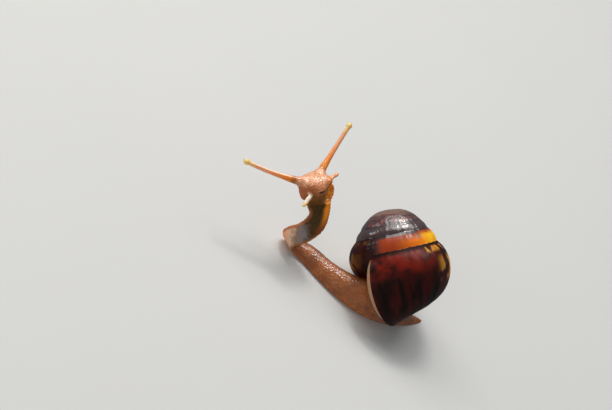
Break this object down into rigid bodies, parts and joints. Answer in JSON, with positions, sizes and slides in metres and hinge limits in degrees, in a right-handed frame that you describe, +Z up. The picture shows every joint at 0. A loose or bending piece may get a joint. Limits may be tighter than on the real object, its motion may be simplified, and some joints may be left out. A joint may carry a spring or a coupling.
{
  "type": "giant african land snail model",
  "caption": "Still, life-size land snail crawling on a flat foot, with its neck raised and turned, long eye tentacles spread, and a domed, right-handed spiral shell.",
  "frame": {"origin": "middle of the whole model's outline on the floor that the sole rests on", "axes": "+X along the floor from the head towards the shell, +Y back, away from the side that the head faces, +Z up"},
  "size_m": [0.1202, 0.0636, 0.064],
  "materials": {
    "skin": "moist, finely grained and slightly translucent, orange-tan above and dark olive-brown under the foot",
    "mantle": "smooth, moist and pale",
    "shell": "glossy dark maroon-brown with an orange-yellow band and flames, and fine growth lines",
    "eye": "small dark glossy bead"
  },
  "bodies": {
    "root": {"shell": "shell", "mantle_collar": "mantle", "tail": "skin", "foot_rear": "skin", "foot_middle": "skin", "foot_front": "skin", "neck_lower": "skin", "neck_upper": "skin", "head": "skin", "eye_stalk_right_root": "skin", "eye_stalk_right_end": "skin", "eye_stalk_left_root": "skin", "eye_stalk_left_end": "skin", "eye_right": "eye", "eye_left": "eye", "lower_tentacle_right": "skin", "lower_tentacle_left": "skin"}
  },
  "joints": []
}
